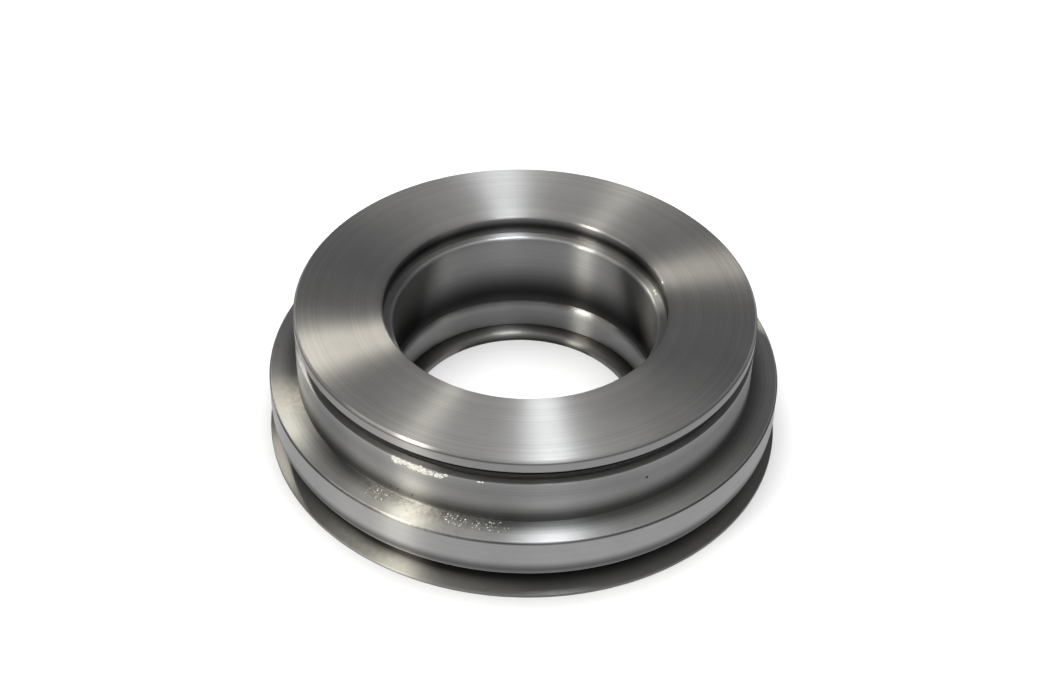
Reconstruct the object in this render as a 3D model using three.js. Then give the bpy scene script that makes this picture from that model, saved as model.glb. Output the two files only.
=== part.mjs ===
// A flanged thrust ball bearing in millimetres: a rotating thrust washer on sixteen caged balls, over a
// flanged housing and a thin base plate. +Z runs up the axis, and the origin is the underside's centre.
import * as THREE from "three";

// Driving dimensions. "Radius" is always measured from the bearing's axis, and "Z" from its underside.
const height = 19.6;
const boreRadius = 17.5; // the shaft sleeve's bore, 35 mm across
const washerBoreRadius = 18.85;
const faceRadius = 30.2; // the flat thrust face's outer edge
const rimRadius = 30.55;
const rimBottomZ = 17.85;
const bandRadius = 30.5; // the housing's straight cylinder band
const bandTopZ = 15.8;
const flangeRadius = 34.2;
const flangeTopZ = 9.4;
const flangeBottomZ = 2.25;
const flangeCornerRadius = 3.0; // rounding of the flange's lower corner
const baseRimRadius = 34.5;
const baseRimHeight = 0.45;

const ballCount = 16;
const ballRadius = 3.175; // a 1/4 inch ball
const ballGap = 0.08; // from a ball to the bottom of either race
const ballCentreZ = 11.2;
const raceRadius = 3.4; // section radius of both ball races
const raceShoulder = 1.9; // from the ball centres to the flat faces beside the races
const raceSteps = 7;

const sleeveOuterRadius = 19.85;
const sleeveTopZ = 16.9; // the first ledge in the bore
const sleeveBottomZ = 5.95;
const skirtInnerRadius = 28.5; // inside of the housing
const hubBoreRadius = 17.6; // the lower race washer's bore
const plateBoreRadius = 15.5; // clears the stepped end of the shaft
const plateFloorZ = 1.2; // thickness of the base plate under the race washer

const retainingZ = 14.4; // underside of the retaining ring
const retainingThickness = 0.8;
const retainingInnerRadius = 27.5;
const retainingOuterRadius = 29.2;
const sealGrooveZ = 6.2; // underside of the O-ring's groove
const sealGrooveHeight = 1.5;
const sealGrooveRadius = 21.35;

const fitGap = 0.05; // between pieces that are pressed together or rest on each other
const runningGap = 0.3; // between pieces that turn past each other
const edgeBreak = 0.25; // chamfer on the turned edges
const turnSegments = 48; // facets round every turned ring

// Dimensions worked out from the driving ones.
const ballPitchRadius = (sleeveOuterRadius + skirtInnerRadius) / 2;
const upperRaceFaceZ = ballCentreZ + raceShoulder;
const lowerRaceFaceZ = ballCentreZ - raceShoulder;
const hubTopZ = sleeveBottomZ - runningGap; // top of the lower race washer's inner hub
const raceRingRadius = skirtInnerRadius - runningGap;
const neckRadius = retainingInnerRadius - runningGap;
const plateSeatZ = flangeBottomZ - fitGap;
const recessRadius = raceRingRadius + 2 * fitGap;

// Each race's centre lies above or below the ball centres, so that only the bottom of the groove comes
// close to the balls.
const raceOffset = ballRadius + ballGap - raceRadius;
const raceHalfAngle = THREE.MathUtils.radToDeg(Math.acos((raceShoulder - raceOffset) / raceRadius));

const bearing = new THREE.Group();
const stationary = new THREE.Group();
const rotating = new THREE.Group();
const caged = new THREE.Group();
caged.position.z = ballCentreZ;
bearing.add(stationary, rotating, caged);

function finish(color, roughness, metalness) {
  return new THREE.MeshStandardMaterial({ color, roughness, metalness });
}

function addPiece(group, name, geometry, material, x = 0, y = 0, z = 0) {
  const mesh = new THREE.Mesh(geometry, material);
  mesh.name = name;
  mesh.position.set(x, y, z);
  group.add(mesh);
}

// Points on an arc of a section outline, from one angle to another in degrees.
function arc(radius, z, bend, fromDegrees, toDegrees, steps) {
  return Array.from({ length: steps + 1 }, (_, i) => {
    const angle = THREE.MathUtils.degToRad(fromDegrees + ((toDegrees - fromDegrees) * i) / steps);
    return [radius + bend * Math.cos(angle), z + bend * Math.sin(angle)];
  });
}

// A ring turned from a closed section of [radius, z] points, listed anticlockwise.
function turnedRing(section) {
  const outline = [...section, section[0]].map(([radius, z]) => new THREE.Vector2(radius, z));
  return new THREE.LatheGeometry(outline, turnSegments).rotateX(Math.PI / 2);
}

function circlePoints(radius, segments, x = 0, y = 0) {
  return Array.from({ length: segments }, (_, i) => {
    const angle = (2 * Math.PI * i) / segments;
    return new THREE.Vector2(x + radius * Math.cos(angle), y + radius * Math.sin(angle));
  });
}

// The section of one ball race, from one shoulder to the other, round a middle direction in degrees.
function raceArc(z, middle) {
  return arc(ballPitchRadius, z, raceRadius, middle + raceHalfAngle, middle - raceHalfAngle, raceSteps);
}

function thrustWasher() {
  return turnedRing([
    [washerBoreRadius, sleeveTopZ + fitGap],
    [sleeveOuterRadius + fitGap, sleeveTopZ + fitGap],
    [sleeveOuterRadius + fitGap, upperRaceFaceZ],
    ...raceArc(ballCentreZ + raceOffset, 90),
    [raceRingRadius, upperRaceFaceZ],
    [raceRingRadius, retainingZ - runningGap],
    [neckRadius, retainingZ - runningGap],
    [neckRadius, rimBottomZ],
    [rimRadius, rimBottomZ],
    [rimRadius, height - (rimRadius - faceRadius)],
    [faceRadius, height],
    [washerBoreRadius + edgeBreak, height],
    [washerBoreRadius, height - edgeBreak],
  ]);
}

function shaftSleeve() {
  const cornerRadius = 0.45;
  return turnedRing([
    [boreRadius, sleeveBottomZ],
    [sleeveOuterRadius, sleeveBottomZ],
    [sleeveOuterRadius, sleeveTopZ],
    ...arc(boreRadius + cornerRadius, sleeveTopZ - cornerRadius, cornerRadius, 90, 180, 3),
  ]);
}

function flangedHousing() {
  const grooveFloorRadius = retainingOuterRadius + 2 * fitGap;
  const seatRadius = raceRingRadius + fitGap;
  const cornerCentreRadius = flangeRadius - flangeCornerRadius;
  return turnedRing([
    [seatRadius, flangeBottomZ],
    ...arc(cornerCentreRadius, flangeBottomZ + flangeCornerRadius, flangeCornerRadius, -90, 0, 5),
    [flangeRadius, flangeTopZ - edgeBreak],
    [flangeRadius - edgeBreak, flangeTopZ],
    [bandRadius, flangeTopZ],
    [bandRadius, bandTopZ],
    [skirtInnerRadius, bandTopZ],
    [skirtInnerRadius, retainingZ + retainingThickness + fitGap],
    [grooveFloorRadius, retainingZ + retainingThickness + fitGap],
    [grooveFloorRadius, retainingZ - fitGap],
    [skirtInnerRadius, retainingZ - fitGap],
    [skirtInnerRadius, lowerRaceFaceZ],
    [seatRadius, lowerRaceFaceZ],
  ]);
}

function lowerRaceWasher() {
  const cornerRadius = 1.4;
  const washerBottomZ = plateFloorZ + fitGap;
  const hubRadius = sleeveOuterRadius + runningGap;
  return turnedRing([
    [hubBoreRadius, washerBottomZ],
    [raceRingRadius, washerBottomZ],
    [raceRingRadius, lowerRaceFaceZ],
    ...raceArc(ballCentreZ - raceOffset, -90),
    [hubRadius, lowerRaceFaceZ],
    [hubRadius, sealGrooveZ + sealGrooveHeight],
    [sealGrooveRadius, sealGrooveZ + sealGrooveHeight],
    [sealGrooveRadius, sealGrooveZ],
    [hubRadius, sealGrooveZ],
    [hubRadius, hubTopZ],
    ...arc(hubBoreRadius + cornerRadius, hubTopZ - cornerRadius, cornerRadius, 90, 180, 3),
  ]);
}

// The plate's top sweeps from the thin rim up to the seat under the housing in one concave arc, which
// is level where it leaves the rim.
function basePlate() {
  const seatRadius = 30.6;
  const lipRadius = 0.8;
  const sweepRise = plateSeatZ - baseRimHeight;
  const sweepRun = baseRimRadius - seatRadius;
  const sweepBend = (sweepRun ** 2 + sweepRise ** 2) / (2 * sweepRise);
  const sweepDegrees = THREE.MathUtils.radToDeg(Math.asin(sweepRun / sweepBend));
  return turnedRing([
    [plateBoreRadius, 0],
    [baseRimRadius, 0],
    ...arc(baseRimRadius, baseRimHeight + sweepBend, sweepBend, -90, -90 - sweepDegrees, 5),
    [recessRadius, plateSeatZ],
    [recessRadius, plateFloorZ],
    ...arc(plateBoreRadius + lipRadius, plateFloorZ - lipRadius, lipRadius, 90, 180, 3),
  ]);
}

// A rubber ring pressed on the thrust washer's neck. Its thin lip reaches out over the housing's top.
function outerSeal() {
  const innerRadius = neckRadius + fitGap;
  const bodyRadius = innerRadius + 1.1;
  const lipRadius = 29.6;
  const lipThickness = 0.7;
  const topZ = rimBottomZ - fitGap;
  const bottomZ = bandTopZ + runningGap / 2;
  return turnedRing([
    [innerRadius, bottomZ],
    [lipRadius, bottomZ],
    [lipRadius, bottomZ + lipThickness],
    [bodyRadius, bottomZ + lipThickness],
    [bodyRadius, topZ],
    [innerRadius, topZ],
  ]);
}

function innerSeal() {
  const cordRadius = 0.66;
  const ringRadius = sleeveOuterRadius + fitGap + cordRadius;
  return new THREE.TorusGeometry(ringRadius, cordRadius, 8, turnSegments);
}

// A flat snap ring, open over a short gap so that it can be sprung into its groove.
function retainingRing() {
  const openDegrees = 15;
  const steps = turnSegments - (openDegrees / 360) * turnSegments;
  const sweep = arc(0, 0, 1, openDegrees / 2, 360 - openDegrees / 2, steps);
  const outer = sweep.map(([x, y]) => new THREE.Vector2(x, y).multiplyScalar(retainingOuterRadius));
  const inner = sweep.map(([x, y]) => new THREE.Vector2(x, y).multiplyScalar(retainingInnerRadius));
  const outline = new THREE.Shape([...outer, ...inner.reverse()]);
  return new THREE.ExtrudeGeometry(outline, { depth: retainingThickness, bevelEnabled: false });
}

// Where a ball's centre lies round the axis.
function ballCentre(index) {
  const angle = (2 * Math.PI * index) / ballCount;
  return [ballPitchRadius * Math.cos(angle), ballPitchRadius * Math.sin(angle)];
}

function ballCage() {
  const cageThickness = 2.7;
  const pocketRadius = 3.35;
  const pocketSegments = 16;
  const outline = new THREE.Shape(circlePoints(raceRingRadius, turnSegments));
  outline.holes.push(new THREE.Path(circlePoints(sleeveOuterRadius + runningGap, turnSegments)));
  for (let i = 0; i < ballCount; i++) {
    const [x, y] = ballCentre(i);
    outline.holes.push(new THREE.Path(circlePoints(pocketRadius, pocketSegments, x, y)));
  }
  const ring = new THREE.ExtrudeGeometry(outline, { depth: cageThickness, bevelEnabled: false });
  return ring.translate(0, 0, -cageThickness / 2);
}

const turnedSteel = () => finish(0xa3a29d, 0.3, 1.0);
const blackRubber = () => finish(0x141414, 0.8, 0.0);
const sealCentreZ = sealGrooveZ + sealGrooveHeight / 2;

addPiece(stationary, "base_plate", basePlate(), turnedSteel());
addPiece(stationary, "lower_race_washer", lowerRaceWasher(), finish(0x9a9a98, 0.25, 1.0));
addPiece(stationary, "flanged_housing", flangedHousing(), turnedSteel());
addPiece(stationary, "inner_seal", innerSeal(), blackRubber(), 0, 0, sealCentreZ);
addPiece(stationary, "retaining_ring", retainingRing(), finish(0x6d6c69, 0.4, 1.0), 0, 0, retainingZ);

addPiece(rotating, "thrust_washer", thrustWasher(), turnedSteel());
addPiece(rotating, "shaft_sleeve", shaftSleeve(), finish(0x8f8f8d, 0.25, 1.0));
addPiece(rotating, "outer_seal", outerSeal(), blackRubber());

addPiece(caged, "ball_cage", ballCage(), finish(0xb08d4a, 0.35, 1.0));
for (let i = 0; i < ballCount; i++) {
  const name = `ball_${String(i + 1).padStart(2, "0")}`;
  const polishedSteel = finish(0xc4c6c8, 0.08, 1.0);
  addPiece(caged, name, new THREE.IcosahedronGeometry(ballRadius, 2), polishedSteel, ...ballCentre(i));
}

export default bearing;
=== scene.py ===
import math
import random

import bmesh
import bpy
from mathutils import Matrix, Vector


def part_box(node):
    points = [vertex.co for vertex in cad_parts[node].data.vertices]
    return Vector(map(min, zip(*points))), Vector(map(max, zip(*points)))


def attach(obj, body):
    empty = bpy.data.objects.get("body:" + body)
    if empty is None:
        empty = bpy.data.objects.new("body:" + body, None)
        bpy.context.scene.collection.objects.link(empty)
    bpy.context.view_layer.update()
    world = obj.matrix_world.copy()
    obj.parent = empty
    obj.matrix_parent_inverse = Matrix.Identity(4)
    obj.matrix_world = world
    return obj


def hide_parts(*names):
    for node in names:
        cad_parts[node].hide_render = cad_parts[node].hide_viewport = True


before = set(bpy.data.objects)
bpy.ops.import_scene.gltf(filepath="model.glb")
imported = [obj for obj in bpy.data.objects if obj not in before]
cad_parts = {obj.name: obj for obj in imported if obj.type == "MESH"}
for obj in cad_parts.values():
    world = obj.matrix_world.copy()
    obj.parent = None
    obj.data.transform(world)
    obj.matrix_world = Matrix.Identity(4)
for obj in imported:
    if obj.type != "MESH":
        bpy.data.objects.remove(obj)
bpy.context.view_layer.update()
random.seed(7)

MM = 0.001
TURN_SEGMENTS = 288  # facets round every turned ring
EDGE_RADIUS = 0.07 * MM  # rounding on a machined edge
GENTLE_TURN = math.radians(40)  # corners that turn less belong to an arc of the section
BEND_STEPS = 5  # facets across a rounding
SUPPORT = 0.2  # a supporting loop lies beside each rounding, at this share of its reach
SHARP_ANGLE = math.radians(50)  # edges that turn more aren't shaded smooth
RETAINING_GAP = math.radians(15)  # the opening of the split ring
RETAINING_EDGE = 0.15 * MM
CAGE_BEVEL = 0.15 * MM
POCKET_RADIUS = 3.35 * MM  # of the cage's ball pockets


# ---------------------------------------------------------------- sizes from the frame


def cad_points(node):
    """The (distance from the axis, z) of each point of a CAD node, to the nearest micrometre."""
    points = [vertex.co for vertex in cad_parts[node].data.vertices]
    return [(round(math.hypot(co.x, co.y), 6), round(co.z, 6)) for co in points]


def radii(node):
    """The smallest and largest distance from the axis of a CAD node's points."""
    reach = [radius for radius, _ in cad_points(node)]
    return min(reach), max(reach)


TOP_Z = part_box("thrust_washer")[1].z
WASHER_BORE_RADIUS, RIM_RADIUS = radii("thrust_washer")
SLEEVE_BORE_RADIUS = radii("shaft_sleeve")[0]
SLEEVE_BOTTOM_Z, SLEEVE_TOP_Z = [corner.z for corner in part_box("shaft_sleeve")]
HUB_BORE_RADIUS = radii("lower_race_washer")[0]
PLATE_RADIUS = radii("base_plate")[1]
PLATE_FLOOR_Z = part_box("lower_race_washer")[0].z - 0.05 * MM  # the washer lies that close above it
FLANGE_RADIUS = radii("flanged_housing")[1]
FLANGE_BOTTOM_Z, BAND_TOP_Z = [corner.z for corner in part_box("flanged_housing")]
BAND_RADIUS = max(radius for radius, z in cad_points("flanged_housing") if z == round(BAND_TOP_Z, 6))
FLANGE_TOP_Z = min(z for radius, z in cad_points("flanged_housing") if radius == BAND_RADIUS)


# ---------------------------------------------------------------- places of wear, painted shade and painted sheen

# Painted shade: soft dark rings where shade falls in the bore, in corners and in gaps, and thin dark lines
# along edges: (radius, z, reach, darkest tone).
# painted shade: dark down the bore wall below the top, and a dark line beside the rim
WASHER_PAINTED_SHADE = [
    (WASHER_BORE_RADIUS, TOP_Z - 1.5 * MM, 1.9 * MM, 0.07),
    (RIM_RADIUS - 0.05 * MM, TOP_Z - 0.4 * MM, 0.25 * MM, 0.35),
]
# painted shade: dark at the band's foot and below its top, low on the flange's side, and a dark line round
# the flange's top edge
HOUSING_PAINTED_SHADE = [
    (BAND_RADIUS, FLANGE_TOP_Z + 0.6 * MM, 3.0 * MM, 0.3),
    (BAND_RADIUS, BAND_TOP_Z - 1.6 * MM, 3.0 * MM, 0.72),
    (FLANGE_RADIUS, FLANGE_BOTTOM_Z + 2.35 * MM, 1.6 * MM, 0.34),
    (FLANGE_RADIUS - 0.05 * MM, FLANGE_TOP_Z - 0.2 * MM, 0.3 * MM, 0.2),
]
# painted shade: dark on the plate beneath the flange's edge and around the race washer's bore
PLATE_PAINTED_SHADE = [
    (PLATE_RADIUS - 3.0 * MM, PLATE_FLOOR_Z, 3.0 * MM, 0.1),
    (HUB_BORE_RADIUS, PLATE_FLOOR_Z, 2.3 * MM, 0.3),
]
# painted shade: dark on the lower part of the sleeve's bore
SLEEVE_PAINTED_SHADE = [(SLEEVE_BORE_RADIUS, SLEEVE_BOTTOM_Z + 1.45 * MM, 7.0 * MM, 0.07)]

# Lighter patches on a flat: painted sheen where the light from the left falls, on the housing with real
# scuffing too, which also roughens: (azimuth in degrees, radius, z, reach, strength, mottling).
HOUSING_SCUFFS_AND_SHEEN = [
    (-113, BAND_RADIUS + 2.0 * MM, FLANGE_TOP_Z, 7.0 * MM, 0.7, 0.5),
    (-102, BAND_RADIUS + 1.5 * MM, FLANGE_TOP_Z, 5.0 * MM, 0.35, 0.5),
    (-164, BAND_RADIUS + 2.5 * MM, FLANGE_TOP_Z, 6.0 * MM, 0.6, 0.5),
    (-126, BAND_RADIUS + 1.0 * MM, FLANGE_TOP_Z, 4.5 * MM, 0.4, 0.5),
]
# painted sheen: the plate's left side lighter, where the light falls
PLATE_LEFT_SHEEN = [(-122, PLATE_RADIUS - 0.7 * MM, 0.5 * MM, 24.0 * MM, 0.55, 0.15)]
# the pale colour of the scuffs and of the painted sheen
SCUFF_AND_SHEEN_COLOUR = (0.93, 0.91, 0.82)

# The burr on the band's top edge, in degrees of azimuth.
BURR_START = -121.5
BURR_END = -107.0
BURR_FLAKES = 120

# Clusters of flakes: (azimuth in degrees, spread in degrees, count).
LOOSE_FLAKE = (-99, 0.8, 5)
FLECKS = [(-124, 1.5, 26), (-115, 4.0, 34), (-105, 2.0, 34), (-98, 2.5, 36)]

# Nicks beside the bore: (azimuth in degrees, radius, z, spread, largest flake).
NICKS = [
    (20, WASHER_BORE_RADIUS - 0.35 * MM, SLEEVE_TOP_Z + 0.05 * MM, 0.6 * MM, 0.55 * MM),
    (16, WASHER_BORE_RADIUS + 0.15 * MM, TOP_Z - 0.12 * MM, 0.3 * MM, 0.3 * MM),
]
NICK_FLAKES = 9

# Dark marks on the band: (azimuth in degrees, z, (width, depth, height)).
DENT_SIZE = (0.25 * MM, 0.03 * MM, 0.8 * MM)
PIT_SIZE = (0.6 * MM, 0.03 * MM, 0.5 * MM)
MARKS = [(azimuth, FLANGE_TOP_Z + 1.0 * MM, DENT_SIZE) for azimuth in (-122, -120, -116)]
MARKS.append((-59, BAND_TOP_Z - 2.3 * MM, PIT_SIZE))


# ---------------------------------------------------------------- camera

CAMERA_ELEVATION = math.radians(40.42)
CAMERA_ROLL = math.radians(1.70)
CAMERA_DISTANCE = 0.258
CAMERA_LENS_MM = 69.0
CAMERA_TARGET = Vector((0.0001, -0.0097, TOP_Z))


def add_camera():
    data = bpy.data.cameras.new("camera")
    data.lens = CAMERA_LENS_MM
    data.sensor_width = 36.0
    data.clip_start = 0.01
    camera = bpy.data.objects.new("camera", data)
    bpy.context.scene.collection.objects.link(camera)
    aim = Matrix.Rotation(math.pi / 2 - CAMERA_ELEVATION, 4, "X")
    roll = Matrix.Rotation(CAMERA_ROLL, 4, "Z")
    back = Vector((0, -math.cos(CAMERA_ELEVATION), math.sin(CAMERA_ELEVATION)))
    place = Matrix.Translation(CAMERA_TARGET + CAMERA_DISTANCE * back)
    camera.matrix_world = place @ aim @ roll
    bpy.context.scene.camera = camera


# ---------------------------------------------------------------- turned rings


def cad_section(node):
    """The closed [(radius, z), ...] outline of a turned CAD node, walked along its edges behind -X."""
    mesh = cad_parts[node].data
    joined = {}
    for edge in mesh.edges:
        ends = [mesh.vertices[i].co for i in edge.vertices]
        if all(abs(co.y) < 1e-6 and co.x < 0 for co in ends):
            a, b = [(round(-co.x, 7), round(co.z, 7)) for co in ends]
            if a != b:
                joined.setdefault(a, set()).add(b)
                joined.setdefault(b, set()).add(a)
    outline = [min(joined)]
    while True:
        onward = [p for p in sorted(joined[outline[-1]]) if p not in outline]
        if not onward:
            return [Vector(p) for p in anticlockwise(outline)]
        outline.append(onward[0])


def anticlockwise(outline):
    following = outline[1:] + outline[:1]
    area = sum(a[0] * b[1] - b[0] * a[1] for a, b in zip(outline, following))
    return outline if area > 0 else outline[::-1]


def rounded(outline, edge_radius):
    """The outline with its sharp corners rounded, and the facets of its arcs blended into one curve."""
    smooth = []
    for i, corner in enumerate(outline):
        before, after = outline[i - 1] - corner, outline[(i + 1) % len(outline)] - corner
        half_angle = before.angle(after) / 2
        turn = math.pi - 2 * half_angle
        if turn < 1e-4:
            smooth.append(corner)
            continue
        longest = 0.499 * min(before.length, after.length)  # so that two neighbouring arcs never overlap
        reach = longest if turn < GENTLE_TURN else min(edge_radius / math.tan(half_angle), 0.9 * longest)
        bend = reach * math.tan(half_angle)
        start = corner + before.normalized() * reach
        end = corner + after.normalized() * reach
        inward = (before.normalized() + after.normalized()).normalized()
        centre = corner + inward * bend / math.sin(half_angle)
        if turn >= GENTLE_TURN:
            smooth.append(start + before.normalized() * SUPPORT * reach)
        for step in range(BEND_STEPS + 1):
            share = step / BEND_STEPS
            spoke = (start - centre).lerp(end - centre, share)
            smooth.append(centre + spoke.normalized() * bend)
        if turn >= GENTLE_TURN:
            smooth.append(end + after.normalized() * SUPPORT * reach)
    return smooth


def turned_mesh(name, outline, start=0.0, sweep=2 * math.pi):
    """A mesh of the outline turned about Z, closed with end caps when it isn't a full turn."""
    whole = sweep > 2 * math.pi - 1e-6
    segments = max(8, round(TURN_SEGMENTS * sweep / (2 * math.pi)))
    rows = segments if whole else segments + 1
    count = len(outline)
    points = []
    for row in range(rows):
        angle = start + sweep * row / segments
        points += [(p[0] * math.cos(angle), p[0] * math.sin(angle), p[1]) for p in outline]
    faces = []
    for row in range(segments):
        this, following = row * count, ((row + 1) % rows) * count
        for i in range(count):
            j = (i + 1) % count
            faces.append((this + i, following + i, following + j, this + j))
    if not whole:
        faces.append(tuple(range(count)))
        faces.append(tuple((rows - 1) * count + i for i in reversed(range(count))))
    mesh = bpy.data.meshes.new(name)
    mesh.from_pydata(points, [], faces)
    outward(mesh)
    return mesh


def outward(mesh):
    """Merge the mesh's doubled points, face it outwards and shade its soft edges smooth."""
    work = bmesh.new()
    work.from_mesh(mesh)
    bmesh.ops.remove_doubles(work, verts=work.verts, dist=1e-8)
    bmesh.ops.recalc_face_normals(work, faces=work.faces)
    work.to_mesh(mesh)
    work.free()
    mesh.shade_smooth()
    mesh.set_sharp_from_angle(angle=SHARP_ANGLE)


def add_piece(name, mesh, body, slot, material, *nodes):
    """A visible piece that rides on a body, has the material given and stands for the CAD nodes named, which
    it hides. The slot is not used.
    """
    piece = bpy.data.objects.new(name, mesh)
    bpy.context.scene.collection.objects.link(piece)
    mesh.materials.clear()
    mesh.materials.append(material)
    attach(piece, body)
    if nodes:
        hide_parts(*nodes)


def add_ring(node, body, slot, material):
    outline = rounded(cad_section(node), EDGE_RADIUS)
    add_piece(node + "_turned", turned_mesh(node, outline), body, slot, material, node)


# ---------------------------------------------------------------- the other pieces


def add_retaining_ring(material):
    node = "retaining_ring"
    low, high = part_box(node)
    inner, outer = radii(node)
    square = [Vector(p) for p in ((inner, low.z), (outer, low.z), (outer, high.z), (inner, high.z))]
    outline = rounded(square, RETAINING_EDGE)
    mesh = turned_mesh(node, outline, RETAINING_GAP / 2, 2 * math.pi - RETAINING_GAP)
    add_piece(node + "_sprung", mesh, "housing", "spring_steel", material, node)


def ball_nodes():
    return sorted(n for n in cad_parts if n.startswith("ball_") and n != "ball_cage")


def ball_centre(node):
    low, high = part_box(node)
    return (low + high) / 2


def add_balls(material):
    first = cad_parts["ball_01"].data.vertices
    radius = max((v.co - ball_centre("ball_01")).length for v in first)
    for node in ball_nodes():
        work = bmesh.new()
        bmesh.ops.create_icosphere(work, subdivisions=4, radius=radius)
        bmesh.ops.translate(work, verts=work.verts, vec=ball_centre(node))
        mesh = bpy.data.meshes.new(node)
        work.to_mesh(mesh)
        work.free()
        mesh.shade_smooth()
        add_piece(node + "_polished", mesh, node, "ball_steel", material, node)


def add_circle(curve, centre, radius, points=64):
    """One closed round of straight steps, added to a flat curve."""
    spline = curve.splines.new("POLY")
    spline.points.add(points - 1)
    for i, point in enumerate(spline.points):
        angle = 2 * math.pi * i / points
        point.co = (centre.x + radius * math.cos(angle), centre.y + radius * math.sin(angle), 0, 1)
    spline.use_cyclic_u = True


def add_cage(material):
    """A flat ring with a round pocket for each ball and a small bevel on every edge."""
    low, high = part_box("ball_cage")
    inner, outer = radii("ball_cage")
    curve = bpy.data.curves.new("cage_outline", "CURVE")
    curve.dimensions = "2D"
    curve.fill_mode = "BOTH"
    curve.bevel_depth = CAGE_BEVEL
    curve.bevel_resolution = 2
    curve.extrude = (high.z - low.z) / 2 - CAGE_BEVEL
    add_circle(curve, Vector((0, 0)), outer - CAGE_BEVEL, 256)
    add_circle(curve, Vector((0, 0)), inner + CAGE_BEVEL, 256)
    for node in ball_nodes():
        add_circle(curve, ball_centre(node), POCKET_RADIUS + CAGE_BEVEL)
    shape = bpy.data.objects.new("cage_outline", curve)
    bpy.context.scene.collection.objects.link(shape)
    bpy.context.view_layer.update()
    mesh = bpy.data.meshes.new_from_object(shape)
    bpy.data.objects.remove(shape)
    mesh.transform(Matrix.Translation((0, 0, (low.z + high.z) / 2)))
    outward(mesh)
    add_piece("ball_cage_machined", mesh, "cage", "cage_brass", material, "ball_cage")


def add_chips(name, body, slot, material, spots):
    """Small jagged flakes of metal, half sunk in a surface. Each spot is (azimuth in degrees, radius, z,
    (width round the axis, depth along the radius, height))."""
    work = bmesh.new()
    for azimuth, radius, height, size in spots:
        flake = bmesh.ops.create_icosphere(work, subdivisions=1, radius=0.5)["verts"]
        for vert in flake:
            vert.co *= random.uniform(0.5, 1.2)
        twist = Matrix.Rotation(random.uniform(-0.5, 0.5), 4, "X")
        turn = Matrix.Rotation(math.radians(azimuth), 4, "Z")
        shape = Matrix.Diagonal((size[1], size[0], size[2], 1))
        place = turn @ Matrix.Translation((radius, 0, height)) @ twist @ shape
        bmesh.ops.transform(work, verts=flake, matrix=place)
    mesh = bpy.data.meshes.new(name)
    work.to_mesh(mesh)
    work.free()
    add_piece(name, mesh, body, slot, material)


def burr_spots():
    """The ragged burr torn along the housing's top edge, and one loose flake farther round."""
    spots = []
    for _ in range(BURR_FLAKES):
        azimuth = random.uniform(BURR_START, BURR_END)
        taper = min(1, (azimuth - BURR_START + 1.5) / 2.5, (BURR_END + 1 - azimuth) / 3)
        drop = random.uniform(0.0, 0.85) * MM * taper
        size = (random.uniform(0.3, 0.8) * MM, 0.16 * MM, random.uniform(0.25, 0.6) * MM * taper)
        spots.append((azimuth, BAND_RADIUS, BAND_TOP_Z - drop, size))
    middle, spread, count = LOOSE_FLAKE
    for _ in range(count):
        azimuth = random.uniform(middle - spread, middle + spread)
        size = (0.35 * MM, 0.12 * MM, 0.3 * MM)
        spots.append((azimuth, BAND_RADIUS, BAND_TOP_Z - 0.15 * MM, size))
    return spots


def speck_spots():
    """Flecks of swarf pressed on the flange's top below the burr, most of them in a few clusters."""
    spots = []
    for centre, spread, count in FLECKS:
        for _ in range(count):
            radius = BAND_RADIUS + random.uniform(0.3, 2.0) * MM
            size = (random.uniform(0.08, 0.3) * MM, random.uniform(0.08, 0.3) * MM, 0.03 * MM)
            spots.append((random.gauss(centre, spread), radius, FLANGE_TOP_Z, size))
    return spots


def nick_spots():
    """Two nicks beside the thrust washer's bore, on its ledge and near its edge."""
    spots = []
    for azimuth, radius, height, spread, largest in NICKS:
        for _ in range(NICK_FLAKES):
            size = tuple(random.uniform(0.4, 1.0) * largest for _ in range(2)) + (largest / 3,)
            across = random.uniform(-spread, spread)
            spots.append((azimuth + math.degrees(across / radius), radius, height, size))
    return spots


def mark_spots():
    """Dark dents low on the housing's band and one pit in its middle."""
    return [(azimuth, BAND_RADIUS, height, size) for azimuth, height, size in MARKS]


# ---------------------------------------------------------------- materials

TOOL_MARKS = 0.16 * MM  # about the spacing of the lines left by turning


class Shader:
    """A small helper that adds nodes to one material and links them."""

    def __init__(self, name):
        self.material = bpy.data.materials.new(name)
        self.material.use_nodes = True
        self.tree = self.material.node_tree
        self.surface = self.tree.nodes["Principled BSDF"]

    def add(self, kind, **values):
        node = self.tree.nodes.new("ShaderNode" + kind)
        for key, value in values.items():
            if hasattr(node, key):
                setattr(node, key, value)
            else:
                node.inputs[key].default_value = value
        return node

    def link(self, source, target):
        self.tree.links.new(source, target)

    def math(self, operation, a, b=None):
        node = self.add("Math", operation=operation)
        for socket, value in zip(node.inputs, (a, b)):
            if isinstance(value, (int, float)):
                socket.default_value = value
            elif value is not None:
                self.link(value, socket)
        return node.outputs[0]

    def remap(self, value, from_low, from_high, to_low, to_high, kind="LINEAR"):
        node = self.add("MapRange", interpolation_type=kind)
        self.link(value, node.inputs["Value"])
        node.inputs["From Min"].default_value = from_low
        node.inputs["From Max"].default_value = from_high
        node.inputs["To Min"].default_value = to_low
        node.inputs["To Max"].default_value = to_high
        return node.outputs[0]

    def relief(self, height, strength, distance):
        """Bump on the surface, as deep as the distance where the height goes from 0 to 1."""
        bump = self.add("Bump")
        bump.inputs["Strength"].default_value = strength
        bump.inputs["Distance"].default_value = distance
        self.link(height, bump.inputs["Height"])
        self.link(bump.outputs[0], self.surface.inputs["Normal"])

    def colour(self, red, green, blue):
        self.surface.inputs["Base Color"].default_value = (red, green, blue, 1)


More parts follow.
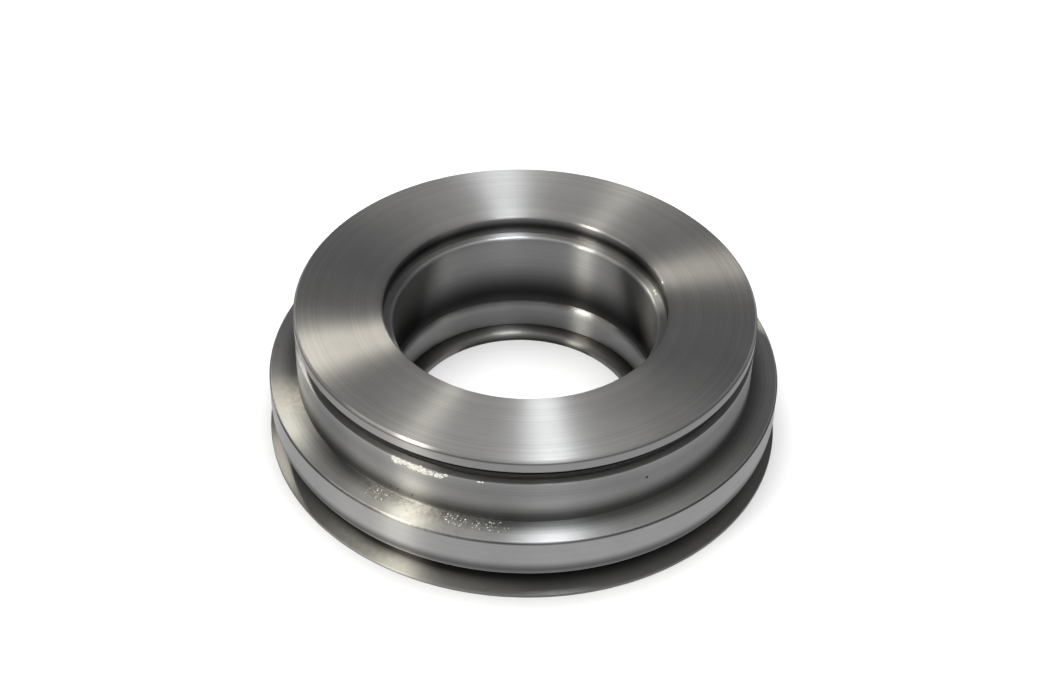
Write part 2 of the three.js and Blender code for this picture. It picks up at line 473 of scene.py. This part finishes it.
def base_material(name, roughness, metallic):
    """A new material's Shader, with an even roughness that the caller may replace."""
    shader = Shader(name)
    shader.surface.inputs["Metallic"].default_value = metallic
    shader.surface.inputs["Roughness"].default_value = roughness
    return shader


def radius_and_height(shader):
    """Each point's distance from the axis, and its z."""
    parts = shader.add("SeparateXYZ")
    shader.link(shader.add("TexCoord").outputs["Object"], parts.inputs[0])
    squares = [shader.math("POWER", parts.outputs[axis], 2.0) for axis in (0, 1)]
    return shader.math("SQRT", shader.math("ADD", *squares)), parts.outputs[2]


def distance_from_ring(shader, ring_radius, ring_height):
    """Each point's distance from a circle round the axis."""
    radius, height = radius_and_height(shader)
    across = shader.math("POWER", shader.math("SUBTRACT", radius, ring_radius), 2.0)
    along = shader.math("POWER", shader.math("SUBTRACT", height, ring_height), 2.0)
    return shader.math("SQRT", shader.math("ADD", across, along))


def turning_lines(shader, spacing, detail=2.0):
    """Noise that changes with radius and height only, so it draws concentric lines of about that spacing."""
    radius, height = radius_and_height(shader)
    along = shader.add("CombineXYZ")
    shader.link(radius, along.inputs[0])
    shader.link(height, along.inputs[1])
    lines = shader.add("TexNoise", noise_dimensions="2D")
    lines.inputs["Scale"].default_value = 1 / spacing
    lines.inputs["Detail"].default_value = detail
    shader.link(along.outputs[0], lines.inputs["Vector"])
    return lines.outputs["Fac"]


def blotches(shader, size, detail=3.0):
    """Noise whose soft patches are of about that size."""
    place = shader.add("TexCoord").outputs["Object"]
    noise = shader.add("TexNoise")
    noise.inputs["Scale"].default_value = 1 / size
    noise.inputs["Detail"].default_value = detail
    shader.link(place, noise.inputs["Vector"])
    return noise.outputs["Fac"]


def scuff_and_sheen(shader, azimuth, radius, height, reach, strength, mottling):
    """How much each point of a flat is lightened by painted sheen and scuffing: most at the given place, less
    with distance, with mottling.
    """
    angle = math.radians(azimuth)
    away = shader.add("VectorMath", operation="DISTANCE")
    away.inputs[1].default_value = (radius * math.cos(angle), radius * math.sin(angle), height)
    shader.link(shader.add("TexCoord").outputs["Object"], away.inputs[0])
    near = shader.remap(away.outputs["Value"], 0.0, reach, strength, 0.0, "SMOOTHSTEP")
    off_level = shader.math("ABSOLUTE", shader.math("SUBTRACT", radius_and_height(shader)[1], height))
    level = shader.remap(off_level, 0.1 * MM, 0.5 * MM, 1.0, 0.0)
    broken = shader.remap(blotches(shader, 0.7 * MM, 6.0), 0.4, 0.56, 1 - mottling, 1.0)
    return shader.math("MULTIPLY", shader.math("MULTIPLY", near, level), broken)


def tone_and_painted_shade(shader, lines, painted_shade):
    """The tone that the steel's colour is multiplied by: fine lines, broad faint stains and dark rings of
    painted shade.
    """
    stains = shader.remap(blotches(shader, 6 * MM), 0.3, 0.7, 0.94, 1.05)
    tone = shader.math("MULTIPLY", shader.remap(lines, 0.3, 0.7, 0.93, 1.05), stains)
    # painted shade: each ring darkens the colour towards its darkest tone
    for radius, height, reach, darkest in painted_shade:
        gone = distance_from_ring(shader, radius, height)
        tone = shader.math("MULTIPLY", tone, shader.remap(gone, 0.0, reach, darkest, 1.0, "SMOOTHSTEP"))
    return tone


def turned_steel(name, colour, roughness=0.34, bump=0.25, anisotropy=1.0, painted_shade=(), scuffs_and_sheen=()):
    """Steel with concentric tool marks, which stretch each highlight across the marks. The painted shade
    and the scuffs with painted sheen are lists as in the places above."""
    shader = base_material(name, roughness, 1.0)
    surface = shader.surface
    lines = turning_lines(shader, TOOL_MARKS)
    tint = shader.add("Mix", data_type="RGBA", blend_type="MULTIPLY")
    tint.inputs["Factor"].default_value = 1.0
    tint.inputs[6].default_value = (*colour, 1)
    shader.link(tone_and_painted_shade(shader, lines, painted_shade), tint.inputs[7])
    worn_and_painted_light = tint.outputs[2]
    rough = shader.math("ADD", shader.remap(lines, 0.3, 0.7, -0.015, 0.015), roughness)
    for place in scuffs_and_sheen:
        share = scuff_and_sheen(shader, *place)
        # lighten towards the pale colour: painted sheen, and the scuffing
        lighter = shader.add("Mix", data_type="RGBA")
        shader.link(share, lighter.inputs["Factor"])
        shader.link(worn_and_painted_light, lighter.inputs[6])
        lighter.inputs[7].default_value = (*SCUFF_AND_SHEEN_COLOUR, 1)
        worn_and_painted_light = lighter.outputs[2]
        rough = shader.math("ADD", rough, shader.math("MULTIPLY", share, 0.2))
    shader.link(worn_and_painted_light, surface.inputs["Base Color"])
    shader.link(rough, surface.inputs["Roughness"])
    surface.inputs["Anisotropic"].default_value = anisotropy
    surface.inputs["Anisotropic Rotation"].default_value = 0.25
    tangent = shader.add("Tangent", direction_type="RADIAL", axis="Z")
    shader.link(tangent.outputs[0], surface.inputs["Tangent"])
    shader.relief(turning_lines(shader, TOOL_MARKS / 2, 4.0), bump, 0.0015 * MM)
    return shader.material


def polished_steel(name):
    """The balls' bright steel, with a roughness that varies a little."""
    shader = base_material(name, 0.06, 1.0)
    shader.colour(0.72, 0.72, 0.73)
    rough = shader.remap(blotches(shader, 1.5 * MM), 0.3, 0.7, 0.04, 0.1)
    shader.link(rough, shader.surface.inputs["Roughness"])
    return shader.material


def torn_metal(name, light, dark):
    """Matt broken metal, mottled between two tones."""
    shader = base_material(name, 0.6, 0.0)
    tones = shader.add("ValToRGB")
    tones.color_ramp.elements[0].position = 0.35
    tones.color_ramp.elements[0].color = (*dark, 1)
    tones.color_ramp.elements[1].position = 0.6
    tones.color_ramp.elements[1].color = (*light, 1)
    shader.link(blotches(shader, 0.3 * MM), tones.inputs["Fac"])
    shader.link(tones.outputs["Color"], shader.surface.inputs["Base Color"])
    return shader.material


def black_rubber(name):
    """Matt rubber with a fine uneven surface."""
    shader = base_material(name, 0.7, 0.0)
    shader.colour(0.03, 0.029, 0.028)
    rough = shader.remap(blotches(shader, 0.4 * MM), 0.3, 0.7, 0.55, 0.85)
    shader.link(rough, shader.surface.inputs["Roughness"])
    shader.relief(blotches(shader, 0.15 * MM), 0.3, 0.02 * MM)
    return shader.material


# ---------------------------------------------------------------- stage

# The grey of the surroundings: (height, grey), with the height from -1, straight down, to 1, straight up.
SKY = [(-1.0, 0.54), (-0.3, 0.61), (-0.04, 0.66), (0.08, 0.2), (0.5, 0.19), (0.7, 0.12), (1.0, 0.11)]

# Tints of the lamps.
PLAIN = (1.0, 1.0, 1.0)
COOL = (0.92, 0.96, 1.0)
WARM = (1.0, 0.97, 0.87)


def add_stage_sheet(name, corners, grey, roughness):
    """A flat matt sheet that belongs to the stage, with its four corners in turn."""
    mesh = bpy.data.meshes.new(name)
    mesh.from_pydata(corners, [], [(0, 1, 2, 3)])
    sheet = bpy.data.objects.new(name, mesh)
    bpy.context.scene.collection.objects.link(sheet)
    shader = base_material(name + "_paper", roughness, 0.0)
    shader.colour(grey, grey, grey)
    shader.surface.inputs["Specular IOR Level"].default_value = 0.0
    mesh.materials.append(shader.material)
    return sheet


def add_floor():
    side = 3.0
    corners = [(-side, -side, 0), (side, -side, 0), (side, side, 0), (-side, side, 0)]
    floor = add_stage_sheet("floor", corners, 0.86, 0.9)
    floor.visible_glossy = False


def add_area_light(name, azimuth, elevation, size, size_y, power, distance=0.8, tint=PLAIN):
    """A lamp aimed at the middle of the bearing's top. Only reflections see it, unless the caller changes
    that."""
    data = bpy.data.lights.new(name, "AREA")
    data.shape = "RECTANGLE"
    data.color = tint
    data.size = size
    data.size_y = size_y
    data.energy = power
    lamp = bpy.data.objects.new(name, data)
    bpy.context.scene.collection.objects.link(lamp)
    az, el = math.radians(azimuth), math.radians(elevation)
    away = Vector((math.cos(el) * math.cos(az), math.cos(el) * math.sin(az), math.sin(el)))
    lamp.location = Vector((0, 0, TOP_Z)) + distance * away
    lamp.rotation_euler = away.to_track_quat("Z", "Y").to_euler()
    lamp.visible_camera = False
    lamp.visible_diffuse = False
    return lamp


def add_world():
    """Surroundings that brighten towards the horizon from below and stay dim above it, as in a white cove."""
    world = bpy.data.worlds.new("studio")
    bpy.context.scene.world = world
    world.use_nodes = True
    tree = world.node_tree
    direction = tree.nodes.new("ShaderNodeTexCoord")
    parts = tree.nodes.new("ShaderNodeSeparateXYZ")
    share = tree.nodes.new("ShaderNodeMapRange")
    ramp = tree.nodes.new("ShaderNodeValToRGB")
    share.inputs["From Min"].default_value = -1.0
    tree.links.new(direction.outputs["Generated"], parts.inputs[0])
    tree.links.new(parts.outputs[2], share.inputs["Value"])
    tree.links.new(share.outputs[0], ramp.inputs["Fac"])
    tree.links.new(ramp.outputs["Color"], tree.nodes["Background"].inputs["Color"])
    for height, grey in SKY:
        stop = ramp.color_ramp.elements.new((height + 1) / 2)
        stop.color = (grey, grey, 1.03 * grey, 1)
    ramp.color_ramp.elements.remove(ramp.color_ramp.elements[0])
    ramp.color_ramp.elements.remove(ramp.color_ramp.elements[-1])


def add_lights():
    """A broad fill that lights matt surfaces, and lamps that draw the streaks on the turned steel."""
    fill = add_area_light("fill", 90, 88, 1.2, 1.2, 12)
    fill.visible_glossy = False
    fill.visible_diffuse = True
    add_area_light("overhead", 13, 84, 0.25, 0.12, 1.3, tint=COOL)
    add_area_light("overhead_glow", 10, 75, 0.7, 0.7, 0.1)
    add_area_light("left_high", 177, 66, 0.04, 0.04, 0.22, tint=WARM)
    add_area_light("left_panel", -155, 25, 0.5, 0.35, 0.55, tint=WARM)
    add_area_light("back_left_low", 125, 39, 0.03, 0.03, 0.22, 0.7, tint=WARM)
    add_area_light("back_left_high", 125, 44, 0.03, 0.03, 0.23, 0.7, tint=WARM)
    front_left = add_area_light("front_left", -140, 30, 0.16, 0.12, 1.5, tint=WARM)
    front_left.visible_diffuse = True


def add_shadow_card():
    """A dark card on the floor under the far side of the bore. Only reflections see it, and it stands for
    the shaded floor there, which darkens the lower part of the bore."""
    reach = SLEEVE_BORE_RADIUS
    near = 0.7 * reach
    lift = 0.05 * MM
    corners = [(-reach, near, lift), (reach, near, lift), (reach, reach, lift), (-reach, reach, lift)]
    card = add_stage_sheet("shadow_card", corners, 0.02, 1.0)
    card.visible_camera = False
    card.visible_diffuse = False
    card.visible_shadow = False


# ---------------------------------------------------------------- assembly

add_camera()

# the painted shade lists darken the steel where shade falls; the scuff lists lighten it with painted sheen
washer_steel = turned_steel("thrust_washer_steel", (0.56, 0.55, 0.535), painted_shade=WASHER_PAINTED_SHADE)
housing_steel = turned_steel(
    "housing_steel", (0.64, 0.635, 0.62), bump=0.3, painted_shade=HOUSING_PAINTED_SHADE, scuffs_and_sheen=HOUSING_SCUFFS_AND_SHEEN)
plate_steel = turned_steel(
    "plate_steel", (0.30, 0.295, 0.28), bump=0.3, painted_shade=PLATE_PAINTED_SHADE, scuffs_and_sheen=PLATE_LEFT_SHEEN)
sleeve_steel = turned_steel("sleeve_steel", (0.53, 0.53, 0.52), bump=0.15, painted_shade=SLEEVE_PAINTED_SHADE)
race_steel = turned_steel("race_steel", (0.50, 0.50, 0.49), bump=0.15)
spring_steel = turned_steel("spring_steel", (0.2, 0.2, 0.2), roughness=0.4, anisotropy=0.3)
cage_brass = turned_steel("cage_brass", (0.68, 0.50, 0.22), roughness=0.35, anisotropy=0.6)
rubber = black_rubber("seal_rubber")

add_ring("thrust_washer", "thrust_washer", "turned_steel", washer_steel)
add_ring("shaft_sleeve", "thrust_washer", "sleeve_steel", sleeve_steel)
add_ring("outer_seal", "thrust_washer", "seal_rubber", rubber)
add_ring("flanged_housing", "housing", "housing_steel", housing_steel)
add_ring("lower_race_washer", "housing", "race_steel", race_steel)
add_ring("base_plate", "housing", "plate_steel", plate_steel)
add_ring("inner_seal", "housing", "seal_rubber", rubber)
add_retaining_ring(spring_steel)
add_balls(polished_steel("ball_steel"))
add_cage(cage_brass)
fresh = torn_metal("fresh_metal", (0.97, 0.96, 0.87), (0.7, 0.68, 0.6))
dented = torn_metal("dented_metal", (0.06, 0.055, 0.05), (0.02, 0.02, 0.018))
add_chips("edge_burr", "housing", "housing_steel", fresh, burr_spots())
add_chips("flange_specks", "housing", "housing_steel", fresh, speck_spots())
add_chips("band_marks", "housing", "housing_steel", dented, mark_spots())
add_chips("bore_nicks", "thrust_washer", "turned_steel", fresh, nick_spots())

add_floor()
add_world()
add_lights()
add_shadow_card()
bpy.context.scene.view_settings.view_transform = "Standard"
